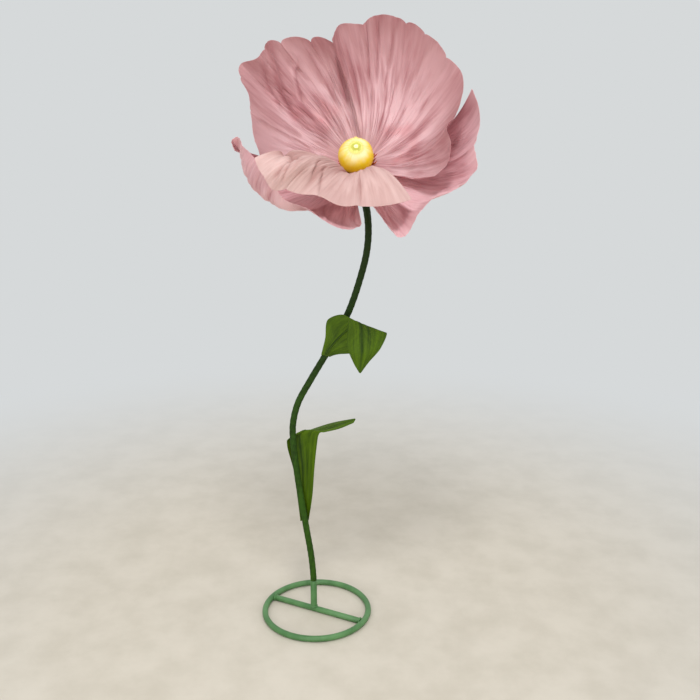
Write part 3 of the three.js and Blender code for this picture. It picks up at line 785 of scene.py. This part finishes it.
def ruffled_button():
    turn, s, t = rings(144, np.linspace(0.02, 1, 30))
    edge = BUTTON_RADIUS * (1 + 0.1 * wander(s * 14, t * 0, 81))
    out = edge * (1 - t)
    under = BALL_HEIGHT + np.sqrt(BALL_RADIUS**2 - out**2)
    ruffle = np.abs(np.sin(RUFFLES * pi * s + wander(s * 11, t * 3, 82)))
    ring_hump = np.exp(-(((t - 0.42) / 0.2) ** 2))
    tuft = rise(t, 0.72, 0.98)
    relief = (0.4 + 3.0 * ring_hump + 2.4 * (ruffle - 0.5) * ring_hump + 3.8 * tuft) * MM
    grid = in_head(turn, out, under + 0.7 * MM + relief)
    maps = grain_maps(grid, np.clip(0.2 + 0.7 * ruffle, 0, 1))
    maps["fold"][..., 1] = 1 - t
    button = button_crepe()
    sheet("gathered_button", grid, PAPER, maps, button, ["pod_button"], looped=True)


ruffled_button()

# %% [markdown]
# Round the foot of the ball stands a fringe: a strip snipped into narrow teeth and glued on, with
# tips that turn darker and browner towards their ends. Each tooth is a small tapered tongue with its
# own lean and length. The teeth reach out furthest at the right of the ball, and a little at its
# lower left. They all share one glued hem, which makes the fringe one piece.

# %% Snipped fringe
def fringe_crepe():
    finish = Finish("orange_crepe")
    grain, _, along = finish.paper()
    streaks = finish.noise(grain, (600.0, 40.0, 1.0), 3.0, 0.6)
    colour = finish.mix(along.between(0.25, 0.8), linear((240, 170, 10)), linear((188, 92, 20)))
    colour = finish.mix((streaks - 0.45).clear(), colour, linear((128, 58, 18)))
    sockets = {"Base Color": colour, "Roughness": 0.8, "Normal": finish.bump(streaks, 0.15 * MM)}
    return finish.painted(sockets)


TEETH = 54
FRINGE_PAPER = 0.5 * MM
# The directions in which the teeth stand out, and how much they do.
FRINGE_SIDES = ((radians(-128), 0.45), (radians(-12), 1.0))


def snipped_fringe():
    per_tooth, rows = 8, 12
    turn, s, t = rings(TEETH * per_tooth, np.linspace(0, 1, rows))
    tooth = np.floor(s * TEETH)
    place = (s * TEETH) % 1
    shape = np.clip(1.15 - np.abs(place - 0.5) * 2.3, 0, 1) ** 0.55
    length = 0.5 + 0.5 * wander(tooth * 1.7, tooth * 0, 91)
    flare = 0.6 + 0.5 * wander(tooth * 1.3 + 0.5, tooth * 0, 92)
    lean = 0.12 + np.zeros_like(s)
    for side, most in FRINGE_SIDES:
        lean += most * np.exp(-((np.sin((turn - side) / 2) / 0.3) ** 2))
    lift = np.radians(-52 + (16 + shape * (28 + 24 * length) * lean) * t)
    radius = BALL_RADIUS + (0.9 + (4.5 + 6 * lean) * flare * t**2 * shape) * MM
    sway = 0.09 * wander(tooth * 2.1, tooth * 0, 93) * t**2
    grid = in_head(turn + sway, radius * np.cos(lift), BALL_HEIGHT + radius * np.sin(lift))
    maps, fringe = grain_maps(grid, 0.5), fringe_crepe()
    replaced = ["stamen_fringe"]
    sheet("snipped_fringe", grid, FRINGE_PAPER, maps, fringe, replaced, looped=True)


snipped_fringe()

# %% [markdown]
# The stem is steel tube, bent in a lazy S and wound with a strip of dark crepe. Its colour is greener at
# the foot and darker towards the head: painted shade that deepens under the head. The winding shows as a
# low step that climbs round the stem.
# Sweeping a ring of points along the line gives room for that step in the radius, and for the few
# extra turns of strip at the bend behind the head. A curve with a round bevel could not show it.

# %% Lines to sweep along
STEM_LINE = [
    (-8, 4, 17), (-8, 4, 48), (-8, 4, 96), (-13, 4, 165), (-28, 4, 268), (-47, 4, 400),
    (-58, 4, 510), (-58, 4, 560), (-44, 4, 618), (-10, 4, 682), (40, 4, 768), (90, 4, 865),
    (119, 4, 950), (136, 4, 1020), (140, 6, 1080), (132, 52, 1140), (114, 72, 1182),
]


def behind_head(distance):
    """A place on the head's axis, this far behind the petals' feet."""
    return HEAD_CENTRE - forward * distance


def smooth_line(points, count):
    """A line through points that keeps to the chord where they lie close together."""
    points = np.asarray(points, float)
    padded = np.concatenate([[2 * points[0] - points[1]], points, [2 * points[-1] - points[-2]]])
    fine = []
    for k in range(len(points) - 1):
        a, b, c, d = padded[k : k + 4]
        before, here, after = [np.linalg.norm(q - p) ** 0.5 for p, q in ((a, b), (b, c), (c, d))]
        leave = ((b - a) / before - (c - a) / (before + here) + (c - b) / here) * here
        reach = ((c - b) / here - (d - b) / (here + after) + (d - c) / after) * here
        w = np.linspace(0, 1, 60, endpoint=False)[:, None]
        square = -3 * b + 3 * c - 2 * leave - reach
        cube = 2 * b - 2 * c + leave + reach
        fine.append(b + leave * w + square * w**2 + cube * w**3)
    fine = np.concatenate([*fine, points[-1:]])
    walked = distances(fine)
    even = np.linspace(0, walked[-1], count)
    return np.stack([np.interp(even, walked, fine[:, k]) for k in range(3)], axis=1), even


def ring_frames(line):
    """Two directions across a line at each of its points, carried along without twist."""
    ahead = np.gradient(line, axis=0)
    ahead /= np.linalg.norm(ahead, axis=1, keepdims=True)
    side = np.cross(ahead[0], [0.0, 1.0, 0.0])
    sides = []
    for step in ahead:
        side = side - step * np.dot(side, step)
        side = side / np.linalg.norm(side)
        sides.append(side)
    sides = np.array(sides)
    return sides, np.cross(ahead, sides)


def swept(line, radius):
    """A grid of points round a line, whose radius is given at each point of the grid."""
    sides, others = ring_frames(line)
    turn = around(len(radius))[:, None, None]
    return line + radius[..., None] * (np.cos(turn) * sides + np.sin(turn) * others)


stem_points = [np.array(p) * MM for p in STEM_LINE] + [behind_head(d * MM) for d in (68, 50, 24, 8.3)]
stem_line, stem_walked = smooth_line(stem_points, 660)
print("stem length, m:", round(stem_walked[-1], 3))

# %% Wound stem
STEM_RADIUS = 8.3 * MM
STRIP_STEP = 19 * MM
STRIP_START = 96.9 * MM
STRIP_END = 16 * MM
BEND_HEIGHT = 1140 * MM


def wound_stem():
    shown = (stem_line[:, 2] > STRIP_START) & (stem_walked < stem_walked[-1] - STRIP_END)
    line, walked = stem_line[shown], stem_walked[shown]
    _, s, along = rings(32, walked)
    wound = (along / STRIP_STEP + s + 0.06 * wander(s * 0, along * 18, 101)) % 1
    edge = np.where(wound < 0.12, wound / 0.12, 1 - (wound - 0.12) / 0.88)
    crinkle = wander(s * 7 + along * 40, along * 260, 102)
    at_bend = np.exp(-(((line[:, 2] - BEND_HEIGHT) / (40 * MM)) ** 2))
    relief = (0.55 * edge - 0.35 + 0.12 * crinkle + 0.9 * at_bend) * MM
    grid = np.flip(swept(line, STEM_RADIUS + relief), axis=0)
    # Darker where the strip lies low between the steps of its winding: painted shade.
    maps = grain_maps(grid, 0.4 + 0.25 * np.flip(edge, axis=0))
    maps["grain"][..., 0] += 0.35 * maps["grain"][..., 1]
    maps["fold"][..., 1] = (walked - walked[0]) / (walked[-1] - walked[0])
    sheet("wound_strip", grid, 0.8 * MM, maps, stem_green, ["stem_wrap"], looped=True)


wound_stem()

# %% [markdown]
# A leaf is doubled crepe with a wire in the fold, which lets it be bent and stay bent. It is drawn by
# stations from the stem to the tip, each with one side edge, the midrib and the other side edge. The
# two paper layers part into a sleeve round the wire, on the side where it lies and as far as it
# reaches. Past its end the fold along the midrib is kept crisp. Veins are pressed in at a slant.

# %% Folded leaves
LEAVES = {
    "leaf_upper": [
        ((19, 0, 752), (31, -8.5, 752), (40.5, 6, 745)),
        ((30, -10, 799), (47, -16, 780), (62, -14, 757)),
        ((38, -15, 850), (79, -30, 818), (124, -36, 772)),
        ((86, -36, 862), (118, -60, 852), (184, -60, 826)),
        ((87, -71, 796), (124, -84, 792), (171, -78, 791)),
        ((102, -70, 752), (122, -78, 749), (142, -74, 754)),
        ((116, -69, 726), (120, -71, 724), (125, -69, 729)),
    ],
    "leaf_lower": [
        ((-42, 2, 278), (-27.5, 17, 275), (-20, 4, 279)),
        ((-50, 8, 350), (-35, 20, 350), (-9, 8, 350)),
        ((-59, 10, 425), (-35, 24, 425), (-3, 10, 425)),
        ((-75, 11, 495), (-42, 30, 500), (4, 11, 492)),
        ((-66, 13, 518), (-33, 28, 532), (11, 9, 530)),
        ((-4, 40, 534), (12, 21, 538), (28, -1, 539)),
        ((50, 30, 555), (56, 9, 555), (65, -11, 552)),
        ((106, 5, 575), (108, 1, 574), (103, -5, 566)),
    ],
}
WIRE_REACH = {"leaf_upper": 0.44, "leaf_lower": 0.52}
WIRE_SIDE = {"leaf_upper": 1, "leaf_lower": -1}
SLEEVE = 3.4 * MM
BLADE = 0.8 * MM


def folded_leaf(name, stations, seed):
    """One leaf, with its points closer together near the midrib."""
    u, t = np.linspace(-1, 1, 49), np.linspace(0, 1, 150)
    across = np.sign(u) * np.abs(u) ** 1.7
    rows = through(np.reshape(stations, (len(stations), 9)) * MM, t)
    left, middle, right = rows[None, :, 0:3], rows[None, :, 3:6], rows[None, :, 6:9]
    x = across[:, None, None]
    straight = (left * (1 - x) + right * (1 + x)) / 2
    bow = middle - (left + right) / 2
    form = straight + bow * (1 - np.abs(x) ** 1.6)
    half_width = np.linalg.norm(right - left, axis=2) / 2
    across, along = np.broadcast_arrays(across[:, None], t[None, :])
    from_rib = np.abs(across) * half_width
    veins = np.abs(wander(np.abs(across) * 3 - along * 26, across * 0, seed))
    pleat = wander(across * 9, along * 5, seed + 1)
    inner = (1 - np.abs(across) ** 4) * rise(from_rib, 0, 6 * MM)
    relief = (0.6 * (0.5 - veins) + 0.6 * pleat) * inner * MM
    reach = WIRE_REACH[name]
    crease = -1.2 * MM * np.exp(-from_rib / (2.5 * MM)) * rise(along, reach, reach + 0.1)
    covered = (1 - rise(along, reach + 0.01, reach + 0.05)) * rise(along, 0.0, 0.04)
    sleeve = SLEEVE * (1 - rise(from_rib, 1.0 * MM, 3.6 * MM)) * covered
    shift = relief + crease + WIRE_SIDE[name] * sleeve / 2
    grid = form + shift[..., None] * normals(form)
    # The lower this fold value, the darker the crepe: painted shade in veins, pleats and creases, and a
    # darker band over the wire's sleeve.
    fold = np.clip(0.5 + (relief + crease) / (3 * MM) - 0.5 * sleeve / SLEEVE, 0, 1)
    maps = grain_maps(form, fold)
    thickness = BLADE + sleeve[..., None]
    sheet(name + "_blade", grid, thickness, maps, leaf_green, [name])


for number, (leaf_name, stations) in enumerate(LEAVES.items()):
    folded_leaf(leaf_name, stations, 111 + 10 * number)

# %% [markdown]
# The stand is welded from three lengths of round tube. A weld is a small ragged fillet, so each
# joint gets a bead whose size wanders a little. The tubes themselves are swept rings of points,
# fine enough to look round.

# %% Hoop, cross bar and socket
HOOP_RADIUS = 145 * MM
TUBE_RADIUS = 8 * MM
BAR_TURN = radians(-26.5)
POST_OFFSET = -9 * MM
POST_RADIUS = 9 * MM
POST_BORE = 7.4 * MM
POST_TOP = 96 * MM
bar_way = np.array([cos(BAR_TURN), sin(BAR_TURN), 0.0])
post_foot = bar_way * POST_OFFSET


def flat_maps(points):
    """Plain maps for painted steel, which has no grain and no folds."""
    return {"grain": points[:, :2], "fold": points[:, :2] * 0}


def joined(name, grids, material, replaces):
    """One mesh from several grids that are closed round their first direction and capped."""
    points, faces, start = [], [], 0
    for grid in grids:
        n, m, _ = grid.shape
        numbers = start + np.arange(n * m).reshape(n, m)
        faces += grid_faces(n, m, start, False, looped=True).tolist()
        faces += [numbers[::-1, 0].tolist(), numbers[:, -1].tolist()]
        points.append(grid.reshape(-1, 3))
        start += n * m
    points = np.concatenate(points)
    piece(name, points, faces, flat_maps(points), material, replaces)


def turned_on(line_start, way, profile, count=48):
    """A grid turned about a line along way. The profile is pairs of radius and distance."""
    side = np.cross(way, [0.3, 0.2, 1.0] if abs(way[2]) < 0.9 else [1.0, 0.0, 0.0])
    side /= np.linalg.norm(side)
    other = np.cross(way, side)
    radius, distance = np.array(profile).T
    turn = around(count)
    spoke = np.multiply.outer(np.cos(turn), side) + np.multiply.outer(np.sin(turn), other)
    return line_start + distance[None, :, None] * way + radius[None, :, None] * spoke[:, None, :]


def weld_bead(centre, way, reach, width, seed):
    """A ragged fillet round a tube."""
    turn = around(72)
    ridge = 1 + 0.18 * wander(turn * 4, turn * 0, seed)
    grid = turned_on(centre, way, [(reach, -width), (reach, width)], 72)
    spoke = (grid[:, 0] - centre + way * width) / reach
    rows = []
    for swing in np.linspace(0, pi, 9):
        out = reach + width * sin(swing) * ridge
        rows.append(centre + way * (-width * cos(swing)) + spoke * out[:, None])
    return np.stack(rows, axis=1)


def round_tube(start, end, radius, lip=0.6 * MM):
    """A straight tube from start to end, its edges broken by lip."""
    length = np.linalg.norm(end - start)
    way = (end - start) / length
    profile = [(radius - lip, 0), (radius, lip), (radius, length - lip), (radius - lip, length)]
    return turned_on(start, way, profile)


bar_half = HOOP_RADIUS - TUBE_RADIUS - 0.3 * MM
up = np.array([0.0, 0.0, 1.0])
lift = up * TUBE_RADIUS


def bent_hoop():
    """The hoop as rings of points round its centre line, joined end to end."""
    along, turn = around(200), around(36)[:, None, None]
    out = np.stack([np.cos(along), np.sin(along), along * 0], axis=1)
    spokes = np.cos(turn) * out + np.sin(turn) * up
    points = (HOOP_RADIUS * out + TUBE_RADIUS * spokes + lift).reshape(-1, 3)
    faces = grid_faces(36, 200, 0, True, looped=True, ringed=True).tolist()
    piece("hoop_tube", points, faces, flat_maps(points), coat, ["base_ring"])


bent_hoop()
bar = [round_tube(lift - bar_way * bar_half, lift + bar_way * bar_half, TUBE_RADIUS)]
for end in (-1, 1):
    bead = weld_bead(lift + end * bar_way * (bar_half - 1.5 * MM), bar_way, TUBE_RADIUS, 2.2 * MM, 121 + end)
    bead[..., 2] = np.maximum(bead[..., 2], 0.1 * MM)
    bar.append(bead)
joined("cross_tube", bar, coat, ["cross_bar"])

post_base = post_foot + up * (2 * TUBE_RADIUS - 3 * MM)
post_height = POST_TOP - post_base[2]
mouth = [
    (POST_RADIUS, 0),
    (POST_RADIUS, post_height - 1.2 * MM),
    (POST_RADIUS - 0.4 * MM, post_height - 0.3 * MM),
    (POST_RADIUS - 1.2 * MM, post_height),
    (POST_BORE, post_height - 0.5 * MM),
    (POST_BORE, post_height - 6 * MM),
]
weld_place = post_foot + up * (2 * TUBE_RADIUS + 0.2 * MM)
weld = weld_bead(weld_place, up, POST_RADIUS - 0.6 * MM, 2.4 * MM, 131)
post = [turned_on(post_base, up, mouth), weld]
joined("socket_tube", post, coat, ["base_post"])
print("stand: hoop", 2 * HOOP_RADIUS, "m across its centre line, socket top at", POST_TOP, "m")

# %% [markdown]
# Behind the head a cone of leaf crepe hides the collar and the place where the stem runs in. It is
# glued round the stem, so it is pleated, and its wide end is cut into soft points. Its profile is
# written as distances from the head's axis and along it, in millimetres.

# %% Calyx
CALYX_PROFILE = [(55, -9), (48.3, -10), (18, -22), (13.2, -32), (9.6, -50)]
CALYX_POINTS = 9


def calyx():
    turn, s, t = rings(180, np.linspace(0, 1, 30))
    radius, height = np.moveaxis(through(CALYX_PROFILE, t) * MM, -1, 0)
    pleat = np.abs(np.sin(18 * pi * s + wander(s * 8, t * 2, 141)))
    relief = 0.6 * (pleat - 0.5) * rise(t, 0.1, 0.9) * MM
    cut = 4 * np.abs(np.sin(CALYX_POINTS * pi * s)) * rise(1 - t, 0.8, 1.0) * MM
    grid = in_head(turn, radius + relief + 0.5 * MM - cut, height - 0.5 * MM)
    # Darker in the valleys of the pleats: painted shade.
    maps = grain_maps(grid, np.clip(pleat, 0, 1))
    sheet("calyx_cone", grid, 0.7 * MM, maps, leaf_green, ["calyx"], looped=True)


calyx()

# %% [markdown]
# What stays hidden keeps its measured shape and gets an honest finish: the steel tube inside the
# stem, the wires under the leaves, and the foam of the collar and the ball.

# %% Finishes for the hidden pieces
HIDDEN = {
    "stem_tube": steel,
    "leaf_upper_wire": steel,
    "leaf_lower_wire": steel,
    "head_collar": pink_foam,
    "pod_core": white_foam,
}
for node_name, material in HIDDEN.items():
    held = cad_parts[node_name].data
    held.materials.clear()
    held.materials.append(material)
print("hidden pieces finished:", list(HIDDEN))

# %% [markdown]
# The room is a pale floor that fades into a pale backdrop. A soft key lamp hangs above and in front,
# a wider and weaker one stands low in front on the left, and an even sky fills the rest. The lamps
# are set so that a colour comes out about as it was written.

# %% Floor and backdrop
BACKDROP = (214, 217, 218)
FLOOR = (212, 204, 189)
FLOOR_SPECKS = (200, 192, 176)


def floor_finish():
    finish = Finish("floor")
    place = finish.add("ShaderNodeNewGeometry", {}, {}, out="Position")
    specks = finish.noise(place, (7.0, 7.0, 1.0), 5.0, 0.6)
    colour = finish.mix(specks.between(0.3, 0.75), linear(FLOOR), linear(FLOOR_SPECKS))
    surface = finish.principled({"Base Color": colour, "Roughness": 0.6, "Specular IOR Level": 0.2})
    x, y, _ = finish.parts(place)
    far = ((x * x + y * y) ** 0.5).between(0.5, 2.6)
    plain = finish.add("ShaderNodeEmission", {}, {"Color": linear(BACKDROP), "Strength": 1.0})
    shown = finish.add("ShaderNodeLightPath", {}, {}, out="Is Camera Ray")
    mixed = finish.add("ShaderNodeMixShader", {}, {0: far * shown, 1: surface, 2: plain})
    return finish.done(mixed)


FLOOR_HALF = 9.0
corners = [(x * FLOOR_HALF, y * FLOOR_HALF, 0) for x, y in ((-1, -1), (1, -1), (1, 1), (-1, 1))]
floor_mesh = bpy.data.meshes.new("floor")
floor_mesh.from_pydata(corners, [], [(0, 1, 2, 3)])
floor_mesh.materials.append(floor_finish())
floor = bpy.data.objects.new("floor", floor_mesh)
scene.collection.objects.link(floor)
print("floor", 2 * FLOOR_HALF, "m square")

# %% Lamps and sky
LAMP_AIM = (0.1, 0.0, 1.1)
SKY = (0.83, 0.84, 0.85, 1.0)


def soft_lamp(name, place, size, power):
    """A white disc of light, size metres wide, that faces the flower."""
    data = bpy.data.lights.new(name, "AREA")
    data.shape = "DISK"
    data.size = size
    data.energy = power
    lamp = bpy.data.objects.new(name, data)
    scene.collection.objects.link(lamp)
    lamp.location = place
    away = Vector(place) - Vector(LAMP_AIM)
    lamp.rotation_euler = away.to_track_quat("Z", "Y").to_euler()


soft_lamp("key", place=(0.1, -1.5, 3.2), size=0.6, power=33.0)
soft_lamp("fill", place=(-0.5, -2.5, 0.6), size=1.2, power=19.0)

world = bpy.data.worlds.new("sky")
world.use_nodes = True
sky = world.node_tree
sky.nodes.clear()
light_path = sky.nodes.new("ShaderNodeLightPath")
seen = sky.nodes.new("ShaderNodeMix")
seen.data_type = "RGBA"
seen.inputs[6].default_value = SKY
seen.inputs[7].default_value = linear(BACKDROP)
ground = sky.nodes.new("ShaderNodeBackground")
world_out = sky.nodes.new("ShaderNodeOutputWorld")
sky.links.new(light_path.outputs["Is Camera Ray"], seen.inputs[0])
sky.links.new(seen.outputs[2], ground.inputs["Color"])
sky.links.new(ground.outputs[0], world_out.inputs[0])
scene.world = world
scene.view_settings.view_transform = "Standard"
print("lamps and sky set")
